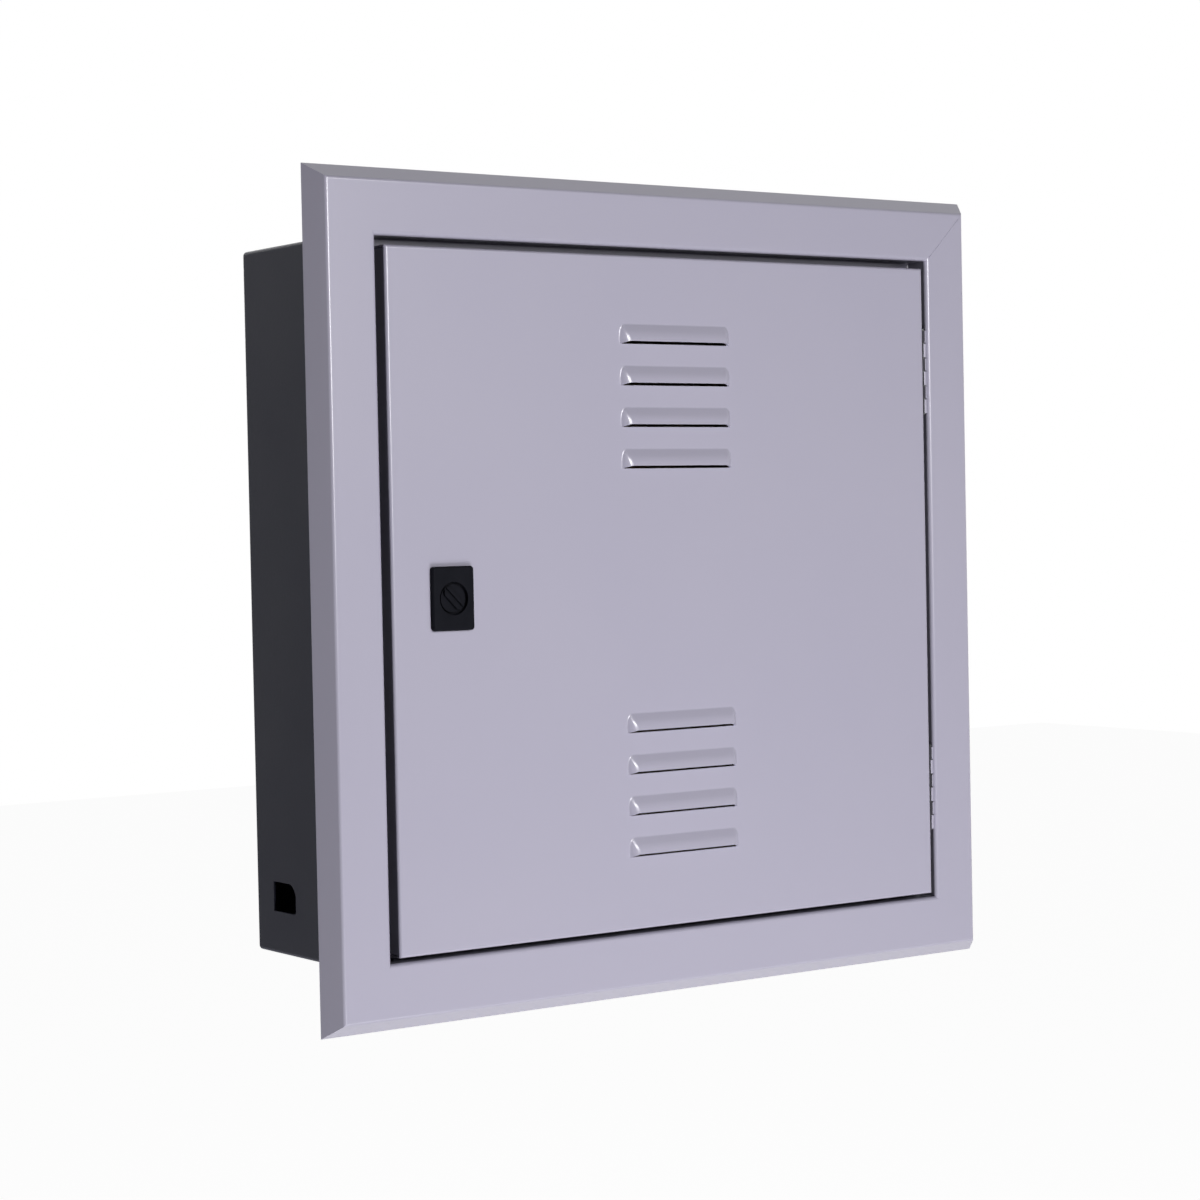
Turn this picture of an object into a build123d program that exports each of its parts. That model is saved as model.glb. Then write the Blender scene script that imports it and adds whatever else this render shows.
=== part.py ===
from build123d import *
from math import hypot
import os

# Flush telephone box: a folded steel box set into a wall, a bevelled steel frame that
# covers the edge of its hole, and a louvred door hung in the frame on two pin hinges
# and closed by a quarter-turn latch.
# X points right, Z up and +Y into the wall. The origin is the centre of the box's
# fixing holes, on the outer face of its back.

# Driving dimensions, in millimetres

box_side = 400.0
box_depth = 129.0
box_sheet = 1.2
box_bend = 2.5

frame_cover = 32.5
frame_rise = 2.0
frame_sheet = 1.2
frame_bend = 2.5
bevel_width = 7.9
bevel_depth = 12.4
return_clearance = 2.6
return_depth = 18.0
lip_width = 11.0
corner_tab = 15.0
seam_width = 0.4

door_proud = 1.2
door_sheet = 1.2
door_bend = 3.0
door_stop_gap = 2.0
lock_side_gap = 4.7
top_gap = 5.0
foot_gap = 2.8
corner_slit = 1.0

louvre_count = 4
louvre_width = 77.8
louvre_height = 9.5
louvre_rise = 3.4
louvre_end = 3.2
louvre_corner = 7.0
louvre_slot = 1.5
louvre_lip_corner = 5.0
louvre_pitch = 23.5
louvre_inset = 84.8
louvre_lift = 0.9
louvre_shift = 1.3

hinge_length = 51.0
hinge_inset = 67.5
hinge_recess = 2.0
knuckle_count = 6
knuckle_gap = 0.25
pin_diameter = 2.2
pin_end = 0.8
leaf_thickness = 0.9
leaf_margin = 0.8
barrel_clearance = 0.2
pin_running_clearance = 0.06
pin_tight_clearance = 0.01

fixing_inset = 16.0
fixing_hole = 6.5

entry_length = 25.6
entry_height = 17.0
entry_from_back = 20.4
entry_from_bottom = 24.1
entry_upper_radius = 8.0
entry_lower_radius = 2.5

knockout_diameter = 27.0
knockout_pitch = 140.0
knockout_from_back = 62.0
knockout_slit = 0.8
knockout_bridge = 4.0

board_margin = 28.8
board_thickness = 10.0
stud_inset = 25.0
stud_diameter = 6.0
stud_tail = 4.0

bracket_length = 20.0
bracket_sheet = 2.0
bracket_leg = 20.0
tab_screw_inset = 14.2
tab_screw_diameter = 5.0
tab_screw_length = 12.0

earth_diameter = 6.0
earth_length = 16.0
earth_from_back = 60.0
earth_from_bottom = 50.0
door_earth_from_centre = 120.0
door_earth_from_edge = 17.0

latch_from_edge = 37.0
bezel_width = 26.6
bezel_height = 35.0
bezel_thickness = 3.0
bezel_corner = 2.0
bezel_edge = 0.9
barrel_diameter = 21.0
barrel_flats = 19.0
shoulder_length = 3.3
well_diameter = 18.0
well_depth = 2.6
spindle_diameter = 12.0
spindle_square = 8.0
thumb_disc = 1.2
thumb_width = 5.5
thumb_length = 15.0
thumb_proud = 0.3
thumb_turn = 45.0
thumb_slot_width = 1.6
thumb_slot_depth = 1.2
cam_thickness = 2.5
cam_width = 14.0
cam_overlap = 7.0
cam_behind_lip = 0.8
cam_screw_diameter = 5.0
cam_screw_length = 10.0

running_clearance = 0.05
hole_clearance = 0.3

tiny = 0.01

# Planes and lines that the pieces share

wall_y = -box_depth
face_y = wall_y - bevel_depth
door_y = face_y - door_proud
lip_back_y = face_y + return_depth
lip_front_y = lip_back_y - frame_sheet

box_inside = box_side / 2 - box_sheet
frame_half = box_side / 2 + frame_cover
opening = box_inside - return_clearance - frame_sheet
knuckle_radius = pin_diameter / 2 + leaf_thickness
hinge_half_gap = knuckle_radius + barrel_clearance
door_left = -opening + lock_side_gap
door_right = opening - 2 * hinge_half_gap
door_top = opening - top_gap
door_foot = foot_gap - opening
door_back = lip_front_y - door_stop_gap
louvre_offset = opening - louvre_inset

hinge_x = opening - hinge_half_gap
hinge_y = face_y + hinge_recess
hinge_offset = opening - hinge_inset
leaf_depth = door_back - leaf_margin - hinge_y
knuckle_pitch = hinge_length / knuckle_count

latch_x = door_left + latch_from_edge
bezel_y = door_y - bezel_thickness
cam_y = lip_back_y + cam_behind_lip
cam_reach = latch_from_edge + lock_side_gap - lip_width + cam_overlap

tab_screw = opening - tab_screw_inset
half_fixing = box_side / 2 - fixing_inset
half_board = box_inside - board_margin
half_studs = half_board - stud_inset


def block(x_low, x_high, y_low, y_high, z_low, z_high):
    """A box between two corners."""
    size = (x_high - x_low, y_high - y_low, z_high - z_low)
    centre = ((x_low + x_high) / 2, (y_low + y_high) / 2, (z_low + z_high) / 2)
    return Pos(*centre) * Box(*size)


def rod_y(x, z, y_low, y_high, diameter):
    """A round bar along Y."""
    bar = Cylinder(diameter / 2, y_high - y_low)
    return Pos(x, (y_low + y_high) / 2, z) * Rot(90, 0, 0) * bar


def hexagon_y(x, z, y_low, y_high, across_flats):
    """A hexagonal bar along Y."""
    outline = RegularPolygon(across_flats / 2, 6, major_radius=False)
    bar = extrude(outline, (y_high - y_low) / 2, both=True)
    return Pos(x, (y_low + y_high) / 2, z) * Rot(90, 0, 0) * bar


def in_four_corners(piece, spread_x, spread_z):
    """Copies of a piece, made at the origin, at the four corners of a rectangle."""
    return [Pos(x, 0, z) * piece for x in (-spread_x, spread_x) for z in (-spread_z, spread_z)]


def fused(pieces):
    """One solid from several that overlap or meet."""
    whole = pieces[0]
    for piece in pieces[1:]:
        whole = whole + piece
    return whole


# Box: one folded tray with a cable entry, knock-outs and fixing holes

def tray(grow):
    """The tray's outer block, or its hollow when grow is minus the sheet."""
    half = box_side / 2 + grow
    back = grow
    front = wall_y if grow == 0 else wall_y - box_bend
    shape = block(-half, half, front, back, -half, half)
    bent = shape.edges().filter_by(Axis.Y) + shape.faces().sort_by(Axis.Y)[-1].edges()
    return fillet(bent, box_bend + grow)


def cable_entry():
    """The D-shaped hole low in the left wall, straight towards the back."""
    y_back = -entry_from_back
    y_front = y_back - entry_length
    z_low = -box_side / 2 + entry_from_bottom
    cut = block(-box_side / 2 - box_bend, -box_side / 2 + box_bend,
                y_front, y_back, z_low, z_low + entry_height)
    front_edges = cut.edges().filter_by(Axis.X).sort_by(Axis.Y)[:2].sort_by(Axis.Z)
    cut = fillet(front_edges[-1], entry_upper_radius)
    front_edges = cut.edges().filter_by(Axis.X).sort_by(Axis.Y)
    lower = [e for e in front_edges if e.center().Z < z_low + box_sheet][0]
    return fillet(lower, entry_lower_radius)


def knockout():
    """The ring-shaped slit round a knock-out disc, left open at two bridges."""
    height = 4 * box_sheet
    ring = Cylinder((knockout_diameter + knockout_slit) / 2, height)
    ring = ring - Cylinder((knockout_diameter - knockout_slit) / 2, height)
    return ring - Box(2 * knockout_diameter, knockout_bridge, height)


box_body = tray(0) - tray(-box_sheet)
box_body = box_body - cable_entry()
for x in (-knockout_pitch / 2, knockout_pitch / 2):
    for z in (-box_side / 2, box_side / 2):
        box_body = box_body - Pos(x, -knockout_from_back, z) * knockout()
fixing_cut = rod_y(0, 0, -2 * box_bend, box_bend, fixing_hole)
for cut in in_four_corners(fixing_cut, half_fixing, half_fixing):
    box_body = box_body - cut


# Board that carries the terminal blocks, with its studs, washers and nuts

board_back = -box_sheet
board_front = board_back - board_thickness
washer_front = board_front - stud_diameter / 5
nut_front = washer_front - stud_diameter * 0.8
stud_hole = stud_diameter + 2 * hole_clearance

mounting_board = block(-half_board, half_board, board_front, board_back,
                       -half_board, half_board)
for cut in in_four_corners(rod_y(0, 0, board_front - 1, board_back + 1, stud_hole),
                           half_studs, half_studs):
    mounting_board = mounting_board - cut

board_stud = rod_y(0, 0, nut_front - stud_tail, board_back, stud_diameter)
board_washer = (rod_y(0, 0, washer_front, board_front, stud_diameter * 2)
                - rod_y(0, 0, washer_front - 1, board_front + 1, stud_hole))
board_nut = (hexagon_y(0, 0, nut_front, washer_front, stud_diameter * 5 / 3)
             - rod_y(0, 0, nut_front - 1, washer_front + 1, stud_diameter))


# Frame: a bevel that meets the wall, a face, a return into the box and a stop lip

def frame_section():
    """The folded sheet's section, in the XY plane, on the right-hand side."""
    slant = frame_sheet * hypot(bevel_width, bevel_depth) / bevel_depth
    inner_run = bevel_width * (bevel_depth - frame_sheet) / bevel_depth
    seen = [(frame_half, wall_y),
            (frame_half - bevel_width, face_y),
            (opening, face_y),
            (opening, lip_front_y),
            (opening - lip_width, lip_front_y)]
    hidden = [(frame_half - slant, wall_y),
              (frame_half - slant - inner_run, face_y + frame_sheet),
              (opening + frame_sheet, face_y + frame_sheet),
              (opening + frame_sheet, lip_back_y),
              (opening - lip_width, lip_back_y)]
    tight = frame_bend - frame_sheet
    front = FilletPolyline(*seen, radius=[frame_bend, frame_bend, tight])
    back = FilletPolyline(*hidden, radius=[tight, tight, frame_bend])
    ends = [Line(seen[0], hidden[0]), Line(seen[-1], hidden[-1])]
    return make_face(front.edges() + back.edges() + ends[0].edges() + ends[1].edges())


def frame_member():
    """One side of the frame, mitred at both ends."""
    bar = extrude(frame_section(), frame_half, both=True)
    reach = 2 * frame_half
    mitre = Polygon((0, 0), (reach, -reach), (reach, reach), align=None)
    wedge = Plane.XZ * mitre
    return bar & extrude(wedge, 2 * box_depth, both=True)


def frame_corner_tab():
    """The triangle that fills the lip's inner corner, top right."""
    edge = opening - lip_width
    corner = Polygon((edge, edge), (edge - corner_tab, edge), (edge, edge - corner_tab),
                     align=None)
    return Pos(0, lip_back_y, 0) * extrude(Plane.XZ * corner, frame_sheet)


member = frame_member()
frame = fused([Rot(0, turn, 0) * member for turn in (0, 90, 180, 270)])
frame = fused([frame] + [Rot(0, turn, 0) * frame_corner_tab() for turn in (0, 90, 180, 270)])
tab_hole = rod_y(0, 0, lip_front_y - 1, lip_back_y + 1, tab_screw_diameter + 2 * hole_clearance)
for cut in in_four_corners(tab_hole, tab_screw, tab_screw):
    frame = frame - cut
seam_middle = (frame_half - bevel_width + opening) / 2
seam_length = 2 ** 0.5 * (frame_half - bevel_width - opening)
seam = Rot(0, -45, 0) * Box(seam_length, seam_width, seam_width)
frame = frame - Pos(seam_middle, face_y, seam_middle) * seam


# Brackets inside the box, and the screws and nuts that hold the frame on them

bracket_back = lip_back_y + bracket_sheet
bracket_low = tab_screw - bracket_length / 2
bracket_high = tab_screw + bracket_length / 2


def frame_bracket(z_low, z_high):
    """An angle on the box's right wall, with a hole for the frame's screw."""
    tab = block(tab_screw - tab_screw_diameter, box_inside, lip_back_y, bracket_back,
                z_low, z_high)
    leg = block(box_inside - bracket_sheet, box_inside, lip_back_y, lip_back_y + bracket_leg,
                z_low, z_high)
    angle = tab + leg
    corner = [e for e in angle.edges().filter_by(Axis.Z)
              if abs(e.center().X - (box_inside - bracket_sheet)) < 0.1
              and abs(e.center().Y - bracket_back) < 0.1]
    angle = fillet(corner, bracket_sheet)
    hole = rod_y(tab_screw, (z_low + z_high) / 2, lip_back_y - 1, bracket_back + 1,
                 tab_screw_diameter + 2 * hole_clearance)
    return angle - hole


bracket_top = frame_bracket(bracket_low + frame_rise, bracket_high + frame_rise)
bracket_bottom = frame_bracket(-bracket_high + frame_rise, -bracket_low + frame_rise)
frame_brackets = [bracket_top, bracket_bottom,
                  mirror(bracket_top, Plane.YZ), mirror(bracket_bottom, Plane.YZ)]

screw_head_height = tab_screw_diameter * 0.6
screw_head = rod_y(0, 0, lip_front_y - screw_head_height, lip_front_y, tab_screw_diameter * 1.8)
tab_slot = block(-tab_screw_diameter, tab_screw_diameter,
                 lip_front_y - 2 * screw_head_height, lip_front_y - screw_head_height / 2,
                 -tab_screw_diameter * 0.12, tab_screw_diameter * 0.12)
screw_shank = rod_y(0, 0, lip_front_y, lip_front_y + tab_screw_length, tab_screw_diameter)
frame_screw = screw_head + screw_shank - tab_slot

nut_height = tab_screw_diameter * 0.8
bracket_nut = (hexagon_y(0, 0, bracket_back, bracket_back + nut_height,
                         tab_screw_diameter * 1.6)
               - rod_y(0, 0, bracket_back - 1, bracket_back + nut_height + 1,
                       tab_screw_diameter))


# Earth terminals: a stud, two washers and a nut

def earth_parts(length):
    """Stud, washers and nut of an earth terminal, standing on the XZ plane towards -Y."""
    thin = earth_diameter / 4
    nut = earth_diameter * 0.8
    seat = earth_diameter * 0.4
    bore = rod_y(0, 0, -length, 0, earth_diameter)
    stud = rod_y(0, 0, -length, 0, earth_diameter)
    flange = rod_y(0, 0, -seat, 0, earth_diameter * 1.6)
    wide = earth_diameter * 2
    washers = [rod_y(0, 0, -seat - thin, -seat, wide) - bore,
               rod_y(0, 0, -seat - 2 * thin, -seat - thin, wide) - bore]
    hexagon = hexagon_y(0, 0, -seat - 2 * thin - nut, -seat - 2 * thin,
                        earth_diameter * 5 / 3) - bore
    return stud + flange, washers, hexagon


on_right_wall = Pos(box_inside, -earth_from_back, -box_side / 2 + earth_from_bottom)
to_left = Rot(0, 0, -90)
stud, washers, nut = earth_parts(earth_length)
earth_stud = on_right_wall * to_left * stud
earth_washers = [on_right_wall * to_left * w for w in washers]
earth_nut = on_right_wall * to_left * nut

on_door = Pos(door_earth_from_centre, door_y + door_sheet, door_foot + door_earth_from_edge)
turned_back = Rot(0, 0, 180)
door_earth_stud = on_door * turned_back * stud
door_earth_washers = [on_door * turned_back * w for w in washers]
door_earth_nut = on_door * turned_back * nut


# Door: a folded tray with eight pressed louvres and the hole for the latch

def door_tray(grow):
    """The tray's outer block, or its hollow when grow is minus the sheet."""
    back = door_back if grow == 0 else door_back + door_bend
    shape = block(door_left - grow, door_right + grow, door_y - grow, back,
                  door_foot - grow, door_top + grow)
    return fillet(shape.faces().sort_by(Axis.Y)[0].edges(), door_bend + grow)


def louvre_form(inside):
    """A louvre's outer form, or the hollow under its sheet, on the door's front at Z = 0."""
    thick = door_sheet if inside else 0.0
    back = 2 * thick
    steep = louvre_height / louvre_rise
    flare = louvre_end / louvre_rise
    top = louvre_height - thick * hypot(steep, 1)
    half = louvre_width / 2 - thick * hypot(flare, 1)
    front = -(louvre_slot + top) / steep
    side = Polygon((back, -louvre_slot), (back, top + back * steep), (front, -louvre_slot),
                   align=None)
    plan = Polygon((-half - back * flare, back), (half + back * flare, back),
                   (half + front * flare, front), (-half - front * flare, front), align=None)
    wedge = extrude(Plane.YZ * side, louvre_width, both=True)
    form = wedge & extrude(plan, 2 * louvre_height, both=True)
    creases = [e for e in form.edges()
               if abs((e @ 0).Y - (e @ 1).Y) > tiny and abs((e @ 0).Z - (e @ 1).Z) > tiny
               and abs((e @ 0).X - (e @ 1).X) > tiny]
    return fillet(creases, louvre_corner - thick)


def louvre_mouth():
    """What is cut away under a louvre's lip, which comes down to the slot at both ends."""
    half = louvre_width / 2
    mouth = Polygon((-half, -louvre_slot), (louvre_lip_corner - half, 0),
                    (half - louvre_lip_corner, 0), (half, -louvre_slot), align=None)
    return extrude(Plane.XZ * mouth, 2 * louvre_rise, both=True)


louvre_places = []
for group in (-louvre_offset, louvre_offset):
    for step in range(louvre_count):
        rise = (step - (louvre_count - 1) / 2) * louvre_pitch
        louvre_places.append(Pos(louvre_shift, door_y,
                                 louvre_lift + group + rise - louvre_height / 2))

door_panel = door_tray(0) - door_tray(-door_sheet)
louvre_outer = louvre_form(False) - louvre_mouth()
louvre_inner = louvre_form(True)
for place in louvre_places:
    door_panel = door_panel + place * louvre_outer - place * louvre_inner

slit_front = door_y + door_bend
for x_low in (door_left - 1, door_right - 2 * door_sheet + 1):
    for z_low in (door_top - door_sheet - corner_slit, door_foot + door_sheet):
        door_panel = door_panel - block(x_low, x_low + 2 * door_sheet, slit_front,
                                        door_back + 1, z_low, z_low + corner_slit)


def flatted_rod(y_low, y_high, diameter, flats):
    """A round bar along Y with a flat on its left and right."""
    return rod_y(0, 0, y_low, y_high, diameter) & block(
        -flats / 2, flats / 2, y_low, y_high, -diameter, diameter)


barrel_hole = flatted_rod(door_y - 1, door_back, barrel_diameter + hole_clearance,
                          barrel_flats + hole_clearance)
door_panel = door_panel - Pos(latch_x, 0, 0) * barrel_hole


# Hinges: two leaves rolled round one pin

def hinge_leaf(first, bore_clearance):
    """A leaf with every second knuckle, flat against the side at +X, with its axis on Z."""
    neck = knuckle_radius + knuckle_gap
    plate = block(hinge_half_gap - leaf_thickness, hinge_half_gap, neck, leaf_depth,
                  -hinge_length / 2, hinge_length / 2)
    roll = Polygon((knuckle_radius - leaf_thickness, 0), (knuckle_radius, 0),
                   (hinge_half_gap, neck), (hinge_half_gap, neck + leaf_thickness),
                   (hinge_half_gap - leaf_thickness, neck + leaf_thickness),
                   (hinge_half_gap - leaf_thickness, neck), align=None)
    length = knuckle_pitch - knuckle_gap
    leaf = plate
    for step in range(first, knuckle_count, 2):
        middle = (step + 0.5) * knuckle_pitch - hinge_length / 2
        tube = Cylinder(knuckle_radius, length) + extrude(roll, length / 2, both=True)
        leaf = leaf + Pos(0, 0, middle) * tube
    return leaf - Cylinder(pin_diameter / 2 + bore_clearance, 2 * hinge_length)


frame_leaf = hinge_leaf(1, pin_tight_clearance)
door_leaf = mirror(hinge_leaf(0, pin_running_clearance), Plane.YZ)
hinge_pin = Cylinder(pin_diameter / 2, hinge_length + 2 * pin_end)
hinge_pin = chamfer(hinge_pin.edges().filter_by(GeomType.CIRCLE), pin_diameter / 6)
upper_hinge = Pos(hinge_x, hinge_y, hinge_offset)
lower_hinge = Pos(hinge_x, hinge_y, -hinge_offset)


# Latch: a housing clamped in the door, and a spindle with a cam that turns in it

barrel_end = cam_y - shoulder_length
well_floor = bezel_y + well_depth
housing = block(-bezel_width / 2, bezel_width / 2, bezel_y, door_y,
                -bezel_height / 2, bezel_height / 2)
housing = fillet(housing.edges().filter_by(Axis.Y), bezel_corner)
housing = chamfer(housing.faces().sort_by(Axis.Y)[0].edges(), bezel_edge)
housing = housing + flatted_rod(door_y - 1, barrel_end, barrel_diameter, barrel_flats)
housing = housing - rod_y(0, 0, bezel_y - 1, well_floor, well_diameter)
spindle_bore = spindle_diameter + 2 * running_clearance
housing = housing - rod_y(0, 0, well_floor - 1, barrel_end + 1, spindle_bore)
latch_housing = Pos(latch_x, 0, 0) * housing

nut_seat = door_y + door_sheet
nut_thick = barrel_diameter / 5
latch_nut = (hexagon_y(latch_x, 0, nut_seat, nut_seat + nut_thick, barrel_diameter * 1.25)
             - rod_y(latch_x, 0, nut_seat - 1, nut_seat + nut_thick + 1, barrel_diameter))

disc_back = well_floor - running_clearance
disc_front = disc_back - thumb_disc
thumb_front = bezel_y - thumb_proud
square_end = cam_y + cam_thickness - 2 * running_clearance
core = rod_y(0, 0, disc_front, disc_back, well_diameter - 2 * hole_clearance)
core = core + rod_y(0, 0, disc_back - 0.1, cam_y, spindle_diameter)
core = core + block(-spindle_square / 2, spindle_square / 2, cam_y - 1, square_end,
                    -spindle_square / 2, spindle_square / 2)
thumb = extrude(Plane.XZ * SlotOverall(thumb_length, thumb_width), disc_back - thumb_front)
thumb = Pos(0, disc_back, 0) * thumb
thumb_cut = block(-thumb_length, thumb_length, thumb_front - 1, thumb_front + thumb_slot_depth,
                  -thumb_slot_width / 2, thumb_slot_width / 2)
core = core + Rot(0, thumb_turn, 0) * (thumb - thumb_cut)
screw_bore = rod_y(0, 0, square_end - cam_screw_length, square_end + 1,
                   cam_screw_diameter + 2 * running_clearance)
core = core - screw_bore
latch_core = Pos(latch_x, 0, 0) * core

cam_hub = rod_y(0, 0, cam_y, cam_y + cam_thickness, cam_width * 1.3)
cam_tongue = block(-cam_width / 2, cam_width / 2, cam_y, cam_y + cam_thickness, -cam_reach, 0)
tip = cam_tongue.edges().filter_by(Axis.Y).sort_by(Axis.Z)[:2]
cam_tongue = fillet(tip, cam_width / 3)
square_hole = spindle_square / 2 + running_clearance
cam = cam_hub + cam_tongue - block(-square_hole, square_hole, cam_y - 1,
                                   cam_y + cam_thickness + 1, -square_hole, square_hole)
latch_cam = Pos(latch_x, 0, 0) * cam

cam_back = cam_y + cam_thickness
washer_back = cam_back + cam_screw_diameter / 4
cam_washer = (rod_y(latch_x, 0, cam_back, washer_back, cam_width)
              - rod_y(latch_x, 0, cam_back - 1, washer_back + 1,
                      cam_screw_diameter + 2 * hole_clearance))
head_back = washer_back + cam_screw_diameter * 0.6
cam_head = rod_y(0, 0, washer_back, head_back, cam_screw_diameter * 1.8)
cam_slot = block(-cam_screw_diameter, cam_screw_diameter,
                 head_back - cam_screw_diameter * 0.3, head_back + 1,
                 -cam_screw_diameter * 0.12, cam_screw_diameter * 0.12)
cam_shank = rod_y(0, 0, square_end - cam_screw_length + 1, washer_back, cam_screw_diameter)
cam_screw = Pos(latch_x, 0, 0) * (cam_head + cam_shank - cam_slot)


# Nodes: what sits on the frame is raised with it

raised = Pos(0, 0, frame_rise)
nodes = {
    "box_body": [box_body],
    "mounting_board": [mounting_board],
    "board_studs": in_four_corners(board_stud, half_studs, half_studs),
    "board_washers": in_four_corners(board_washer, half_studs, half_studs),
    "board_nuts": in_four_corners(board_nut, half_studs, half_studs),
    "frame": [raised * frame],
    "frame_brackets": frame_brackets,
    "frame_screws": [raised * s for s in in_four_corners(frame_screw, tab_screw, tab_screw)],
    "bracket_nuts": [raised * n for n in in_four_corners(bracket_nut, tab_screw, tab_screw)],
    "earth_stud": [earth_stud],
    "earth_washers": earth_washers,
    "earth_nut": [earth_nut],
    "upper_frame_leaf": [raised * upper_hinge * frame_leaf],
    "lower_frame_leaf": [raised * lower_hinge * frame_leaf],
    "upper_hinge_pin": [raised * upper_hinge * hinge_pin],
    "lower_hinge_pin": [raised * lower_hinge * hinge_pin],
    "door_panel": [raised * door_panel],
    "upper_door_leaf": [raised * upper_hinge * door_leaf],
    "lower_door_leaf": [raised * lower_hinge * door_leaf],
    "door_earth_stud": [raised * door_earth_stud],
    "door_earth_washers": [raised * w for w in door_earth_washers],
    "door_earth_nut": [raised * door_earth_nut],
    "latch_housing": [raised * latch_housing],
    "latch_nut": [raised * latch_nut],
    "latch_core": [raised * latch_core],
    "latch_cam": [raised * latch_cam],
    "cam_washer": [raised * cam_washer],
    "cam_screw": [raised * cam_screw],
}

os.makedirs("parts", exist_ok=True)
for name, pieces in nodes.items():
    solids = [solid for piece in pieces for solid in piece.solids()]
    shape = solids[0] if len(solids) == 1 else Compound(solids)
    export_step(shape, f"parts/{name}.step")
    print(name, len(solids), round(sum(s.volume for s in solids)))
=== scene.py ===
import bpy
import math
from mathutils import Matrix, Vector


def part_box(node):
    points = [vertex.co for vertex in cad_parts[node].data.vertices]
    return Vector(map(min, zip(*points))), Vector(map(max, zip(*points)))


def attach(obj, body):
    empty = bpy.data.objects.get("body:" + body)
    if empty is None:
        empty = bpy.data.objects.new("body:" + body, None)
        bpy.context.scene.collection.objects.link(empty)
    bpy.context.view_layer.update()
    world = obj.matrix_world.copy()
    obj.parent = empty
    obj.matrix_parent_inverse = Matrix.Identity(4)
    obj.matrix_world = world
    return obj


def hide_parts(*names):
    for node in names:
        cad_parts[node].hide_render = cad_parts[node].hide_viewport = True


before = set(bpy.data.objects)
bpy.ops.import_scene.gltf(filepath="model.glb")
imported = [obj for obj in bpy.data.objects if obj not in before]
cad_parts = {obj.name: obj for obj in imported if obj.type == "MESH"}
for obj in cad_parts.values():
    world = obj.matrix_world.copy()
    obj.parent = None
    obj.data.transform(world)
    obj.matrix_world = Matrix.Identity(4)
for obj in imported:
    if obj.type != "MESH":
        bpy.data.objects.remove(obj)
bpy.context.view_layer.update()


# Camera: it stands to the left of the box, a little above its middle, where the
# photographer stood.

bpy.ops.object.camera_add(location=(-0.96661, -1.43855, 0.04353),
                          rotation=(math.radians(88.350), math.radians(1.164),
                                    math.radians(-35.165)))
camera = bpy.context.active_object
camera.data.sensor_width = 36.0
camera.data.lens = 84.61
camera.data.clip_start = 0.05
camera.data.clip_end = 60.0
bpy.context.scene.camera = camera
bpy.context.scene.view_settings.view_transform = "Standard"


# Room: a pale floor 1.35 m under the box's middle, the height at which such a box is set
# in a wall, and a plain white surround. The floor keeps the shadow that falls on it.

def adder(nodes):
    """A short way to add a node to a tree, with its inputs and settings by name."""
    def add(kind, **values):
        node = nodes.new(kind)
        for key, value in values.items():
            if key in node.inputs.keys():
                node.inputs[key].default_value = value
            else:
                setattr(node, key, value)
        return node

    return add


def shader(name):
    """A new material with its nodes and links, and the short way to add to them."""
    material = bpy.data.materials.new(name)
    material.use_nodes = True
    tree = material.node_tree
    return material, tree.nodes, tree.links, adder(tree.nodes)


bpy.ops.mesh.primitive_plane_add(size=24, location=(0, 0, -1.35))
floor = bpy.context.active_object
floor.name = "floor"
floor_white, nodes, links, add = shader("floor_white")
nodes.clear()
seen = add("ShaderNodeLightPath")
lit = add("ShaderNodeBsdfDiffuse", Color=(0.86, 0.86, 0.86, 1))
glow = add("ShaderNodeEmission", Color=(1, 1, 1, 1), Strength=0.95)
both = add("ShaderNodeAddShader")
either = add("ShaderNodeMixShader")
shown = add("ShaderNodeMath", operation="MAXIMUM")
out = add("ShaderNodeOutputMaterial")
links.new(seen.outputs["Is Camera Ray"], shown.inputs[0])
links.new(seen.outputs["Is Glossy Ray"], shown.inputs[1])
links.new(lit.outputs[0], both.inputs[0])
links.new(glow.outputs[0], both.inputs[1])
links.new(shown.outputs[0], either.inputs[0])
links.new(lit.outputs[0], either.inputs[1])
links.new(both.outputs[0], either.inputs[2])
links.new(either.outputs[0], out.inputs[0])
floor.data.materials.append(floor_white)

world = bpy.data.worlds.new("surround")
bpy.context.scene.world = world
world.use_nodes = True
nodes = world.node_tree.nodes
links = world.node_tree.links
nodes.clear()
add = adder(nodes)
seen = add("ShaderNodeLightPath")
shown = add("ShaderNodeMath", operation="MAXIMUM")
also = add("ShaderNodeMath", operation="MAXIMUM")
soft = add("ShaderNodeBackground", Color=(1, 1, 1, 1), Strength=0.02)
white = add("ShaderNodeBackground", Color=(1, 1, 1, 1), Strength=1.0)
either = add("ShaderNodeMixShader")
out = add("ShaderNodeOutputWorld")
links.new(seen.outputs["Is Camera Ray"], shown.inputs[0])
links.new(seen.outputs["Is Glossy Ray"], shown.inputs[1])
links.new(shown.outputs[0], also.inputs[0])
links.new(seen.outputs["Is Transmission Ray"], also.inputs[1])
links.new(also.outputs[0], either.inputs[0])
links.new(soft.outputs[0], either.inputs[1])
links.new(white.outputs[0], either.inputs[2])
links.new(either.outputs[0], out.inputs[0])


# Light: a soft box high in front, a narrow strip beside it that is seen only as the bright
# lines on rounded edges, a soft box low in front and a weak one behind for the back.

def soft_box(name, place, aim, wide, tall, watts):
    """A rectangular lamp at a place, turned towards a point and not itself seen."""
    bpy.ops.object.light_add(type="AREA", location=place)
    lamp = bpy.context.active_object
    lamp.name = name
    away = [p - a for p, a in zip(place, aim)]
    lamp.rotation_euler = (math.atan2(math.hypot(away[0], away[1]), away[2]), 0,
                           math.atan2(away[0], -away[1]))
    lamp.data.shape = "RECTANGLE"
    lamp.data.size = wide
    lamp.data.size_y = tall
    lamp.data.energy = watts
    lamp.visible_camera = False
    return lamp


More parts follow.
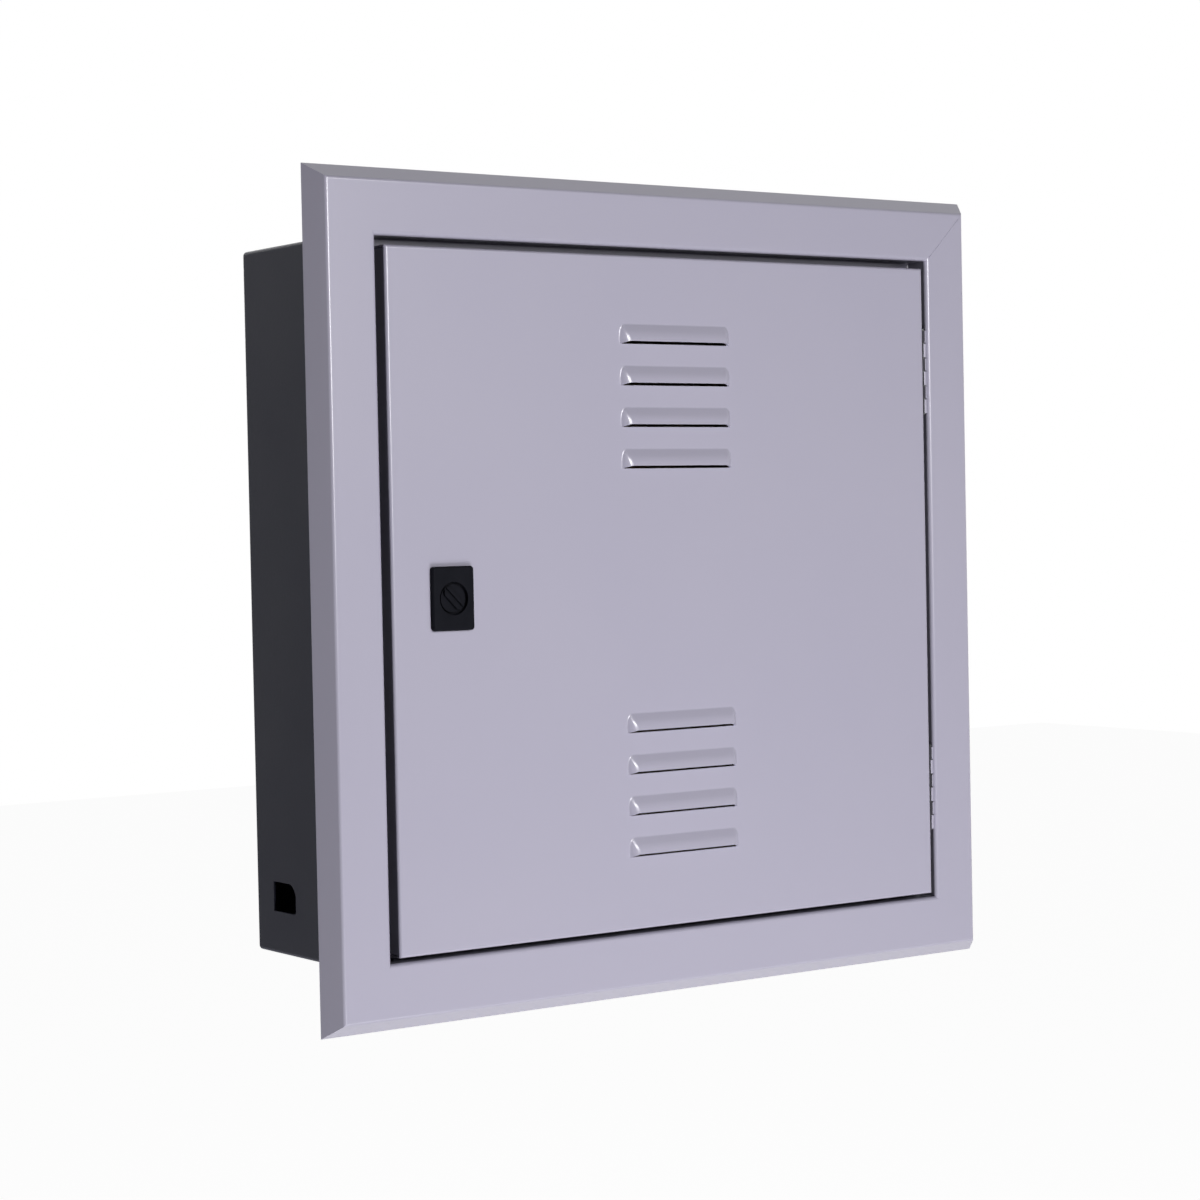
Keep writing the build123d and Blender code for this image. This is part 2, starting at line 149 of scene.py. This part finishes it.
soft_box("front_soft_box", (-0.03, -1.75, 0.46), (0, -0.13, 0.02), 0.5, 0.5, 14.5)
strip = soft_box("front_strip", (0.0, -1.75, 0.50), (0, -0.13, 0.02), 0.16, 0.36, 24)
strip.visible_diffuse = False
soft_box("low_soft_box", (-0.05, -1.20, -1.00), (0, -0.13, 0), 0.7, 0.7, 14)
soft_box("back_soft_box", (0, 1.8, 0.7), (0, 0, 0), 0.9, 0.9, 14)


# Frame: 1.2 mm steel sheet folded to a bevel, a face, a return and a lip, mitred and
# welded at its corners, and sprayed with grey enamel.

def mottled(name, scale, detail, fade, first, second):
    """A material whose colour drifts between two tones, with its main shader and drift."""
    material, nodes, links, add = shader(name)
    body = nodes["Principled BSDF"]
    place = add("ShaderNodeTexCoord")
    drift = add("ShaderNodeTexNoise", Scale=scale, Detail=detail, Roughness=fade)
    tint = add("ShaderNodeMix", data_type="RGBA")
    tint.inputs["A"].default_value = first
    tint.inputs["B"].default_value = second
    links.new(place.outputs["Object"], drift.inputs["Vector"])
    links.new(drift.outputs["Fac"], tint.inputs["Factor"])
    links.new(tint.outputs["Result"], body.inputs["Base Color"])
    return material, body, drift


def vary_gloss(material, body, drift, low, high):
    """Lets the roughness drift with the colour, from low to high."""
    tree = material.node_tree
    dull = adder(tree.nodes)("ShaderNodeMapRange")
    dull.inputs["To Min"].default_value = low
    dull.inputs["To Max"].default_value = high
    tree.links.new(drift.outputs["Fac"], dull.inputs["Value"])
    tree.links.new(dull.outputs["Result"], body.inputs["Roughness"])


def roughen(material, body, scale, fade, strength, depth):
    """Gives the surface a fine grain, such as a spray's or a mould's."""
    tree = material.node_tree
    add = adder(tree.nodes)
    place = add("ShaderNodeTexCoord")
    grain = add("ShaderNodeTexNoise", Scale=scale, Detail=2.0, Roughness=fade)
    wave = add("ShaderNodeBump", Strength=strength, Distance=depth)
    tree.links.new(place.outputs["Object"], grain.inputs["Vector"])
    tree.links.new(grain.outputs["Fac"], wave.inputs["Height"])
    tree.links.new(wave.outputs["Normal"], body.inputs["Normal"])


def grey_enamel(name, dark, light, dullness=0.31, shine=0.5):
    """The sprayed enamel of the frame, the door and their hinges, in two close greys; its
    darker copies are painted shade.
    """
    material, body, _ = mottled(name, 7.0, 3.0, 0.5, dark, light)
    body.inputs["Roughness"].default_value = dullness
    body.inputs["Specular IOR Level"].default_value = shine
    roughen(material, body, 650.0, 0.5, 0.12, 0.0002)
    return material


def joined_copy(node, name, angle):
    """A node's own solid as one joined mesh with smooth bends, which stands for it."""
    piece = bpy.data.objects.new(name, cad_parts[node].data.copy())
    bpy.context.scene.collection.objects.link(piece)
    bpy.ops.object.select_all(action="DESELECT")
    piece.select_set(True)
    bpy.context.view_layer.objects.active = piece
    if piece.data.has_custom_normals:
        bpy.ops.mesh.customdata_custom_splitnormals_clear()
    bpy.ops.object.mode_set(mode="EDIT")
    bpy.ops.mesh.select_all(action="SELECT")
    bpy.ops.mesh.remove_doubles(threshold=0.000002)
    bpy.ops.mesh.dissolve_limited(angle_limit=math.radians(0.3))
    bpy.ops.object.mode_set(mode="OBJECT")
    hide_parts(node)
    smooth(piece, angle)
    return piece


def smooth(piece, angle):
    """Smooth bends, with flat faces kept flat and edges over the angle kept sharp."""
    bpy.ops.object.select_all(action="DESELECT")
    piece.select_set(True)
    bpy.context.view_layer.objects.active = piece
    bpy.ops.object.shade_smooth_by_angle(angle=math.radians(angle))
    flat = piece.modifiers.new("flat_faces", "WEIGHTED_NORMAL")
    flat.keep_sharp = True
    bpy.ops.object.modifier_apply(modifier=flat.name)


def finish_piece(piece, material, body):
    """Gives a piece its finish and puts it on its body."""
    piece.data.materials.clear()
    piece.data.materials.append(material)
    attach(piece, body)


def paint_gap_shade(piece, in_gap):
    """Paints shade on the walls of the narrow gap: a darker grey enamel on the faces the mask
    picks.
    """
    piece.data.materials.append(gap_shade_enamel)
    for face in piece.data.polygons:
        if in_gap(face.center, face.normal):
            face.material_index = 1


enamel = grey_enamel("grey_enamel", (0.398, 0.381, 0.486, 1), (0.424, 0.405, 0.500, 1))
# Painted shade: a much darker copy of the enamel, which stands in for the shade that falls in
# the narrow gaps.
gap_shade_enamel = grey_enamel("painted_gap_shade", (0.135, 0.130, 0.165, 1),
                         (0.165, 0.160, 0.200, 1))
frame_sheet = joined_copy("frame", "frame_sheet", 20)
finish_piece(frame_sheet, enamel, "box")
frame_low, frame_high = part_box("frame")
frame_middle = (frame_low[2] + frame_high[2]) / 2
opening = 0.1955
return_starts = frame_low[1] + 0.0024
# Painted shade: the frame's return and lip inside the opening get the darker gap enamel.
paint_gap_shade(frame_sheet, lambda p, n: p.y > return_starts
          and max(abs(p.x), abs(p.z - frame_middle)) < opening)


# Door: one folded tray of the same sheet, with two groups of four pressed louvres. Their
# slopes are crowned, and their roots are rounded where the sheet was drawn out. A hair is
# how exactly vertices are picked by place.

hair = 0.00002


def tighten_bends(piece, low, high, front, bend, tight):
    """Draws the rounded edges of the door's front, but the hinged one, in to a radius."""
    bpy.context.view_layer.objects.active = piece
    share = tight / bend
    reach = bend + hair
    sides = [((low[0], front, 0), (share, 1, 1), lambda p: p.x < low[0] + reach),
             ((0, front, low[2]), (1, 1, share), lambda p: p.z < low[2] + reach),
             ((0, front, high[2]), (1, 1, share), lambda p: p.z > high[2] - reach)]

    def outer_bend(p):
        deep = max(low[0] + bend - p.x, low[2] + bend - p.z, p.z - high[2] + bend, 0)
        return (p.y < front + reach and deep < reach
                and math.hypot(deep, front + bend - p.y) > bend - 2 * hair)

    chosen = [v.index for v in piece.data.vertices if outer_bend(v.co)
              and any(near(v.co) for _, _, near in sides)]
    for corner, value, near in sides + [((0, front, 0), (1, share, 1), lambda p: True)]:
        bpy.ops.object.mode_set(mode="EDIT")
        bpy.ops.mesh.select_mode(type="VERT")
        bpy.ops.mesh.select_all(action="DESELECT")
        bpy.ops.object.mode_set(mode="OBJECT")
        for index in chosen:
            piece.data.vertices[index].select = near(piece.data.vertices[index].co)
        bpy.ops.object.mode_set(mode="EDIT")
        bpy.ops.transform.resize(value=value, center_override=corner)
        bpy.ops.object.mode_set(mode="OBJECT")


def crown_louvres(piece, low, front, height):
    """Makes each louvre's slope slightly convex, steep at its root and flat at its lip."""
    bpy.context.view_layer.objects.active = piece
    swells = ((2 / 3, 1.50), (1 / 3, 1.28))
    below_lip = 0.002
    lips = sorted({round(v.co.z, 4) for v in piece.data.vertices if v.co.y < low[1] + hair})
    for lip in lips:
        for share, swell in swells:
            level = lip + share * height
            bpy.ops.object.mode_set(mode="EDIT")
            bpy.ops.mesh.select_mode(type="FACE")
            bpy.ops.mesh.select_all(action="DESELECT")
            bpy.ops.object.mode_set(mode="OBJECT")
            for face in piece.data.polygons:
                spread = [piece.data.vertices[v].co.z for v in face.vertices]
                face.select = (face.center.y < front - hair and face.normal.y < -0.2
                               and min(spread) < level < max(spread)
                               and lip - below_lip < face.center.z < lip + height)
            bpy.ops.object.mode_set(mode="EDIT")
            bpy.ops.mesh.bisect(plane_co=(0, 0, level), plane_no=(0, 0, 1))
            bpy.ops.mesh.select_mode(type="VERT")
            bpy.ops.transform.resize(value=(1, swell, 1), center_override=(0, front, level))
            bpy.ops.object.mode_set(mode="OBJECT")


def round_louvre_roots(piece, front, radius):
    """Rounds the inner corner where each louvre rises from the door's front."""
    bpy.context.view_layer.objects.active = piece
    bpy.ops.object.mode_set(mode="EDIT")
    bpy.ops.mesh.select_mode(type="EDGE")
    bpy.ops.mesh.select_all(action="DESELECT")
    bpy.ops.object.mode_set(mode="OBJECT")
    mesh = piece.data
    faces_of = {}
    for face in mesh.polygons:
        for key in face.edge_keys:
            faces_of.setdefault(key, []).append(face)
    for edge in mesh.edges:
        low, high = [mesh.vertices[v].co for v in edge.vertices]
        if abs(low.y - front) > hair or abs(high.y - front) > hair:
            continue
        sides = faces_of.get(edge.key, [])
        if len(sides) != 2:
            continue
        flat = [f for f in sides if f.normal.y < -0.9999]
        risen = [f for f in sides if -0.9999 <= f.normal.y < -0.2]
        if flat and risen and risen[0].center.y < front:
            edge.select = True
    bpy.ops.object.mode_set(mode="EDIT")
    bpy.ops.mesh.bevel(offset=radius, segments=4, profile=0.5, affect="EDGES",
                       clamp_overlap=False, miter_outer="SHARP")
    bpy.ops.object.mode_set(mode="OBJECT")


door_low, door_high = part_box("door_panel")
door_front = -0.1426
door_bend = 0.0030
tight_bend = 0.0018
louvre_height = 0.0095
louvre_root = 0.0005
door_sheet = joined_copy("door_panel", "door_sheet", 20)
tighten_bends(door_sheet, door_low, door_high, door_front, door_bend, tight_bend)
crown_louvres(door_sheet, door_low, door_front, louvre_height)
round_louvre_roots(door_sheet, door_front, louvre_root)
smooth(door_sheet, 20)
finish_piece(door_sheet, enamel, "door")
flange_starts = door_front + 0.0017
skin = 0.0004
# Painted shade: the door's side flanges, deep in the gap, get the darker gap enamel.
paint_gap_shade(door_sheet, lambda p, n: p.y > flange_starts and abs(n.y) < 0.2
          and (p.x < door_low[0] + skin or p.x > door_high[0] - skin
               or p.z < door_low[2] + skin or p.z > door_high[2] - skin))


# Hinges: each has two leaves rolled from 0.9 mm sheet round one pin, welded to the
# frame and the door. The knuckles keep the grey enamel on their front; the rest of each is
# painted near-black as painted shade of the gap, a little further round on the door's knuckles
# than on the frame's.

def zinc_finish():
    """Bright zinc plating with faint clouds, as on studs, screws, nuts and washers."""
    material, body, cloud = mottled("bright_zinc", 160.0, 4.0, 0.6,
                                    (0.50, 0.51, 0.53, 1), (0.68, 0.68, 0.66, 1))
    body.inputs["Metallic"].default_value = 1.0
    vary_gloss(material, body, cloud, 0.28, 0.46)
    roughen(material, body, 2500.0, 0.6, 0.15, 0.00005)
    return material


def round_edges(piece, width, angle):
    """Takes the sharpness off every edge that turns by more than the angle."""
    bpy.ops.object.select_all(action="DESELECT")
    piece.select_set(True)
    bpy.context.view_layer.objects.active = piece
    edge = piece.modifiers.new("rounded_edges", "BEVEL")
    edge.width = width
    edge.segments = 2
    edge.limit_method = "ANGLE"
    edge.angle_limit = math.radians(angle)
    bpy.ops.object.modifier_apply(modifier=edge.name)
    smooth(piece, 40)


def part_knuckles(piece, middle, axis, length, share):
    """Shortens every knuckle of a leaf about its own middle, so that dark partings show."""
    bpy.context.view_layer.objects.active = piece
    bottom = middle - knuckles / 2 * length
    barrel = [v.index for v in piece.data.vertices
              if math.hypot(v.co.x - axis[0], v.co.y - axis[1]) < barrel_radius + 0.00005]
    at_foot = [i for i in barrel if abs(piece.data.vertices[i].co.z - bottom) < hair]
    for count in range(0 if at_foot else 1, knuckles, 2):
        foot = bottom + count * length
        bpy.ops.object.mode_set(mode="EDIT")
        bpy.ops.mesh.select_mode(type="VERT")
        bpy.ops.mesh.select_all(action="DESELECT")
        bpy.ops.object.mode_set(mode="OBJECT")
        for index in barrel:
            level = piece.data.vertices[index].co.z - foot
            piece.data.vertices[index].select = -hair < level < length + hair
        bpy.ops.object.mode_set(mode="EDIT")
        bpy.ops.transform.resize(value=(1, 1, share),
                                 center_override=(0, 0, foot + length / 2))
        bpy.ops.object.mode_set(mode="OBJECT")


zinc = zinc_finish()
# Painted shade: a near-black enamel for the knuckles, standing in for the dark of the hinge
# gap.
knuckle_shade_enamel = grey_enamel("knuckle_shade_enamel", (0.026, 0.025, 0.032, 1),
                           (0.042, 0.040, 0.052, 1), 0.65, 0.15)
# Painted shade: the pins are coloured near-black to sit dark in the hinge gap.
pin_shade_steel = grey_enamel("painted_shade_pin", (0.016, 0.016, 0.018, 1),
                        (0.028, 0.027, 0.030, 1))
hinge_axis = (0.1928, -0.1394)
knuckles = 6
knuckle_length = 0.0085
knuckle_share = 0.87
barrel_radius = 0.0020
for place in ("upper", "lower"):
    for side, body, shade_below in (("frame", "box", -0.05), ("door", "door", -0.35)):
        leaf = joined_copy(f"{place}_{side}_leaf", f"{place}_{side}_hinge_leaf", 30)
        leaf_low, leaf_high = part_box(f"{place}_{side}_leaf")
        part_knuckles(leaf, (leaf_low[2] + leaf_high[2]) / 2, hinge_axis, knuckle_length,
                      knuckle_share)
        round_edges(leaf, 0.0002, 50)
        finish_piece(leaf, enamel, body)
        # Painted shade: every knuckle face but the front of the barrel gets the near-black
        # enamel.
        leaf.data.materials.append(knuckle_shade_enamel)
        for face in leaf.data.polygons:
            away = math.hypot(face.center.x - hinge_axis[0], face.center.y - hinge_axis[1])
            outside = barrel_radius - 0.0003 < away < barrel_radius + 0.0001
            if not (outside and face.normal.x > shade_below):
                face.material_index = 1
    pin = joined_copy(f"{place}_hinge_pin", f"{place}_pin", 30)
    finish_piece(pin, pin_shade_steel, "box")


# Box: 1.2 mm steel folded to a tray, painted dark grey inside and out.

def dark_paint():
    """The dark grey paint of the box and its brackets."""
    material, body, drift = mottled("dark_paint", 9.0, 4.0, 0.6,
                                    (0.043, 0.045, 0.070, 1), (0.068, 0.070, 0.104, 1))
    body.inputs["Specular IOR Level"].default_value = 0.12
    vary_gloss(material, body, drift, 0.42, 0.60)
    roughen(material, body, 500.0, 0.5, 0.2, 0.0003)
    return material


paint = dark_paint()
box_sheet = joined_copy("box_body", "box_sheet", 20)
finish_piece(box_sheet, paint, "box")


# Brackets: four short angles of 2 mm steel welded to the box's side walls, painted with
# it, to which the frame is screwed.

brackets = joined_copy("frame_brackets", "frame_angles", 20)
round_edges(brackets, 0.00025, 40)
finish_piece(brackets, paint, "box")


# Back board: plywood of five plies, cut a little smaller than the box's back, with the
# grain of its face upright.

def plywood_face():
    """The face ply: pale wood with long upright grain, pores and a few darker streaks."""
    material, nodes, links, add = shader("plywood_face")
    body = nodes["Principled BSDF"]
    body.inputs["Roughness"].default_value = 0.62
    body.inputs["Specular IOR Level"].default_value = 0.3
    place = add("ShaderNodeTexCoord")
    along = add("ShaderNodeMapping")
    along.inputs["Scale"].default_value = (1.0, 1.0, 0.06)
    sway = add("ShaderNodeTexNoise", Scale=9.0, Detail=2.0, Roughness=0.5)
    bands = add("ShaderNodeTexNoise", Scale=70.0, Detail=5.0, Roughness=0.62, Distortion=0.6)
    fine = add("ShaderNodeTexNoise", Scale=700.0, Detail=3.0, Roughness=0.6)
    warp = add("ShaderNodeMix", data_type="VECTOR")
    warp.inputs["Factor"].default_value = 0.06
    early = add("ShaderNodeMix", data_type="RGBA")
    early.inputs["A"].default_value = (0.60, 0.42, 0.25, 1)
    early.inputs["B"].default_value = (0.36, 0.22, 0.115, 1)
    late = add("ShaderNodeMix", data_type="RGBA")
    late.inputs["B"].default_value = (0.23, 0.13, 0.06, 1)
    pores = add("ShaderNodeMapRange")
    pores.inputs["From Min"].default_value = 0.56
    pores.inputs["From Max"].default_value = 0.80
    pores.inputs["To Max"].default_value = 0.65
    wave = add("ShaderNodeBump", Strength=0.25, Distance=0.0002)
    links.new(place.outputs["Object"], along.inputs["Vector"])
    links.new(along.outputs["Vector"], sway.inputs["Vector"])
    links.new(along.outputs["Vector"], warp.inputs["A"])
    links.new(sway.outputs["Color"], warp.inputs["B"])
    links.new(warp.outputs["Result"], bands.inputs["Vector"])
    links.new(along.outputs["Vector"], fine.inputs["Vector"])
    links.new(bands.outputs["Fac"], early.inputs["Factor"])
    links.new(early.outputs["Result"], late.inputs["A"])
    links.new(fine.outputs["Fac"], pores.inputs["Value"])
    links.new(pores.outputs["Result"], late.inputs["Factor"])
    links.new(late.outputs["Result"], body.inputs["Base Color"])
    links.new(fine.outputs["Fac"], wave.inputs["Height"])
    links.new(wave.outputs["Normal"], body.inputs["Normal"])
    return material


def plywood_edge():
    """The cut edges: five plies, light and dark in turn across the board's thickness."""
    material, nodes, links, add = shader("plywood_edge")
    body = nodes["Principled BSDF"]
    body.inputs["Roughness"].default_value = 0.75
    body.inputs["Specular IOR Level"].default_value = 0.25
    place = add("ShaderNodeTexCoord")
    split = add("ShaderNodeSeparateXYZ")
    count = add("ShaderNodeMath", operation="MULTIPLY")
    count.inputs[1].default_value = 500.0
    turn = add("ShaderNodeMath", operation="PINGPONG")
    turn.inputs[1].default_value = 1.0
    step = add("ShaderNodeMapRange")
    step.inputs["From Min"].default_value = 0.44
    step.inputs["From Max"].default_value = 0.56
    tint = add("ShaderNodeMix", data_type="RGBA")
    tint.inputs["A"].default_value = (0.52, 0.36, 0.20, 1)
    tint.inputs["B"].default_value = (0.27, 0.16, 0.08, 1)
    rough = add("ShaderNodeTexNoise", Scale=700.0, Detail=4.0, Roughness=0.65)
    wave = add("ShaderNodeBump", Strength=0.5, Distance=0.0004)
    links.new(place.outputs["Object"], split.inputs[0])
    links.new(split.outputs["Y"], count.inputs[0])
    links.new(count.outputs[0], turn.inputs[0])
    links.new(turn.outputs[0], step.inputs["Value"])
    links.new(step.outputs["Result"], tint.inputs["Factor"])
    links.new(tint.outputs["Result"], body.inputs["Base Color"])
    links.new(place.outputs["Object"], rough.inputs["Vector"])
    links.new(rough.outputs["Fac"], wave.inputs["Height"])
    links.new(wave.outputs["Normal"], body.inputs["Normal"])
    return material


board = joined_copy("mounting_board", "back_board", 30)
round_edges(board, 0.0004, 40)
finish_piece(board, plywood_face(), "box")
board.data.materials.append(plywood_edge())
for face in board.data.polygons:
    if abs(face.normal.y) < 0.6:
        face.material_index = 1


# Board fixings: four threaded studs welded to the box's back, each with a washer and a
# hexagonal nut, all bright zinc.

def turned(name, profile, place, turn):
    """A round piece as from a lathe, from its radius at each length along its axis."""
    bpy.ops.object.select_all(action="DESELECT")
    bpy.ops.mesh.primitive_circle_add(vertices=36, radius=profile[0][1], fill_type="NGON")
    piece = bpy.context.active_object
    piece.name = name
    bpy.ops.object.mode_set(mode="EDIT")
    bpy.ops.mesh.select_all(action="SELECT")
    for (low, thin), (high, thick) in zip(profile, profile[1:]):
        bpy.ops.mesh.extrude_region_move(TRANSFORM_OT_translate={"value": (0, 0, high - low)})
        bpy.ops.transform.resize(value=(thick / thin, thick / thin, 1),
                                 center_override=(0, 0, high - profile[0][0]))
    bpy.ops.mesh.select_all(action="SELECT")
    bpy.ops.mesh.normals_make_consistent(inside=False)
    bpy.ops.object.mode_set(mode="OBJECT")
    piece.location = place
    piece.rotation_euler = turn
    bpy.ops.object.transform_apply(location=True, rotation=True, scale=True)
    bpy.ops.object.shade_smooth_by_angle(angle=math.radians(35))
    return piece


def threaded(start, end, radius, pitch):
    """The profile of a thread from start to end, with its last turn chamfered."""
    turns = int((end - start) / pitch)
    depth = 0.54 * pitch
    profile = []
    for step in range(turns):
        profile.append((start + step * pitch, radius - depth))
        profile.append((start + (step + 0.38) * pitch, radius))
        profile.append((start + (step + 0.5) * pitch, radius))
        profile.append((start + (step + 0.88) * pitch, radius - depth))
    profile.append((end, radius - 1.3 * depth))
    return profile


def copied(piece, name, shift):
    """A copy of a piece, with a mesh of its own, moved by a shift."""
    other = piece.copy()
    other.data = piece.data.copy()
    other.name = name
    other.data.transform(Matrix.Translation(shift))
    bpy.context.scene.collection.objects.link(other)
    return other


towards_front = (math.radians(90), 0, 0)
stud_low, stud_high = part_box("board_studs")
stud_radius = 0.0030
stud_spread = stud_high[0] - stud_radius
stud_length = stud_high[1] - stud_low[1]
first_stud = turned("board_stud_1",
                    [(0, stud_radius), (0.0035, stud_radius)]
                    + threaded(0.0040, stud_length, stud_radius, 0.0010),
                    (-stud_spread, stud_high[1], -stud_spread), towards_front)
studs = [first_stud]
for number, shift in ((2, (2 * stud_spread, 0, 0)), (3, (0, 0, 2 * stud_spread)),
                      (4, (2 * stud_spread, 0, 2 * stud_spread))):
    studs.append(copied(first_stud, f"board_stud_{number}", shift))
for stud in studs:
    finish_piece(stud, zinc, "box")
    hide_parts("board_studs")
for node, name in (("board_washers", "board_stud_washers"), ("board_nuts", "board_stud_nuts")):
    fixing = joined_copy(node, name, 30)
    round_edges(fixing, 0.0002, 50)
    finish_piece(fixing, zinc, "box")


# Frame screws: four pan-headed machine screws with a straight slot, which pass through
# the frame's lip and the brackets into nuts behind them.

screw_low, screw_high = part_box("frame_screws")
head_radius = 0.0045
screw_x = screw_high[0] - head_radius
screw_z_low = screw_low[2] + head_radius
screw_z_high = screw_high[2] - head_radius
screw_length = screw_high[1] - screw_low[1]
first_screw = turned("frame_screw_1",
                     [(0, 0.0012), (0.0001, 0.0022), (0.0004, 0.0032), (0.0009, 0.0040),
                      (0.0015, 0.0044), (0.0022, head_radius), (0.0029, head_radius),
                      (0.0030, 0.0044), (0.0031, 0.0025), (0.0040, 0.0025)]
                     + threaded(0.0042, screw_length, 0.0025, 0.0008),
                     (-screw_x, screw_low[1], screw_z_low), (math.radians(-90), 0, 0))
bpy.ops.mesh.primitive_cube_add(size=1, location=(-screw_x, screw_low[1], screw_z_low))
slot_cutter = bpy.context.active_object
slot_cutter.dimensions = (0.012, 0.0030, 0.0011)
bpy.ops.object.transform_apply(location=True, rotation=True, scale=True)
bpy.ops.object.select_all(action="DESELECT")
first_screw.select_set(True)
bpy.context.view_layer.objects.active = first_screw
sawn = first_screw.modifiers.new("sawn_slot", "BOOLEAN")
sawn.operation = "DIFFERENCE"
sawn.solver = "EXACT"
sawn.object = slot_cutter
bpy.ops.object.modifier_apply(modifier=sawn.name)
bpy.data.objects.remove(slot_cutter)
smooth(first_screw, 35)
screws = [first_screw]
screw_rise = screw_z_high - screw_z_low
for number, shift in ((2, (2 * screw_x, 0, 0)), (3, (0, 0, screw_rise)),
                      (4, (2 * screw_x, 0, screw_rise))):
    screws.append(copied(first_screw, f"frame_screw_{number}", shift))
for screw in screws:
    finish_piece(screw, zinc, "box")
    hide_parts("frame_screws")
screw_nuts = joined_copy("bracket_nuts", "frame_screw_nuts", 30)
round_edges(screw_nuts, 0.0002, 50)
finish_piece(screw_nuts, zinc, "box")


# Earth terminals: a brass stud with two washers and a nut on the box's right wall, and
# another low on the back of the door.

def brass_finish():
    """Turned brass, slightly dulled in patches."""
    material, body, cloud = mottled("turned_brass", 220.0, 4.0, 0.6,
                                    (0.80, 0.60, 0.26, 1), (0.62, 0.42, 0.17, 1))
    body.inputs["Metallic"].default_value = 1.0
    vary_gloss(material, body, cloud, 0.24, 0.44)
    return material


brass = brass_finish()
earth_low, earth_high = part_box("earth_stud")
door_earth_low, door_earth_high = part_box("door_earth_stud")
earth_profile = ([(0, 0.0046), (0.0001, 0.0048), (0.0023, 0.0048), (0.0024, 0.0046),
                  (0.0025, 0.0030), (0.0030, 0.0030)]
                 + threaded(0.0032, 0.016, 0.0030, 0.0010))
box_earth = turned("box_earth_stud", earth_profile,
                   (earth_high[0], (earth_low[1] + earth_high[1]) / 2,
                    (earth_low[2] + earth_high[2]) / 2), (0, math.radians(-90), 0))
door_earth = turned("door_earth_stud_turned", earth_profile,
                    ((door_earth_low[0] + door_earth_high[0]) / 2, door_earth_low[1],
                     (door_earth_low[2] + door_earth_high[2]) / 2), (math.radians(-90), 0, 0))
for stud, node, body in ((box_earth, "earth_stud", "box"),
                         (door_earth, "door_earth_stud", "door")):
    finish_piece(stud, brass, body)
    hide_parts(node)
for node, name, body in (("earth_washers", "box_earth_washers", "box"),
                         ("earth_nut", "box_earth_nut", "box"),
                         ("door_earth_washers", "door_earth_stud_washers", "door"),
                         ("door_earth_nut", "door_earth_stud_nut", "door")):
    fixing = joined_copy(node, name, 30)
    round_edges(fixing, 0.0002, 50)
    finish_piece(fixing, brass, body)


# Latch: a black moulded housing with a round well, clamped to the door by a nut from
# behind, and a thumb turn in the well.

def black_moulding():
    """Black moulded plastic with a fine spark texture."""
    material, body, cloud = mottled("black_moulding", 90.0, 3.0, 0.6,
                                    (0.0042, 0.0046, 0.0070, 1),
                                    (0.0095, 0.0098, 0.0140, 1))
    body.inputs["Specular IOR Level"].default_value = 0.03
    vary_gloss(material, body, cloud, 0.38, 0.52)
    roughen(material, body, 1800.0, 0.6, 0.3, 0.0001)
    return material


def draw_in_rim(piece, radius, share):
    """Makes the thumb turn's disc smaller, so that a dark groove shows round it."""
    low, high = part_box("latch_core")
    axis = ((low[0] + high[0]) / 2, 0, (low[2] + high[2]) / 2)
    bpy.context.view_layer.objects.active = piece
    bpy.ops.object.mode_set(mode="EDIT")
    bpy.ops.mesh.select_mode(type="VERT")
    bpy.ops.mesh.select_all(action="DESELECT")
    bpy.ops.object.mode_set(mode="OBJECT")
    for vertex in piece.data.vertices:
        away = math.hypot(vertex.co.x - axis[0], vertex.co.z - axis[2])
        vertex.select = away > radius
    bpy.ops.object.mode_set(mode="EDIT")
    bpy.ops.transform.resize(value=(share, 1, share), center_override=axis)
    bpy.ops.object.mode_set(mode="OBJECT")


moulding = black_moulding()
disc_edge = 0.0083
disc_share = 0.88
for node, name, body, width in (("latch_housing", "latch_bezel", "door", 0.0002),
                                ("latch_nut", "latch_ring_nut", "door", 0.0003),
                                ("latch_core", "thumb_turn", "latch", 0.00025)):
    moulded = joined_copy(node, name, 30)
    if node == "latch_core":
        draw_in_rim(moulded, disc_edge, disc_share)
    round_edges(moulded, width, 40)
    finish_piece(moulded, moulding, body)


# Cam: a zinc-plated steel tongue on the thumb turn's square, held by a washer and a
# slotted screw, which swings behind the frame's lip.

for node, name in (("latch_cam", "cam_tongue"), ("cam_washer", "cam_plain_washer"),
                   ("cam_screw", "cam_slotted_screw")):
    turned_part = joined_copy(node, name, 30)
    round_edges(turned_part, 0.0002, 50)
    finish_piece(turned_part, zinc, "latch")
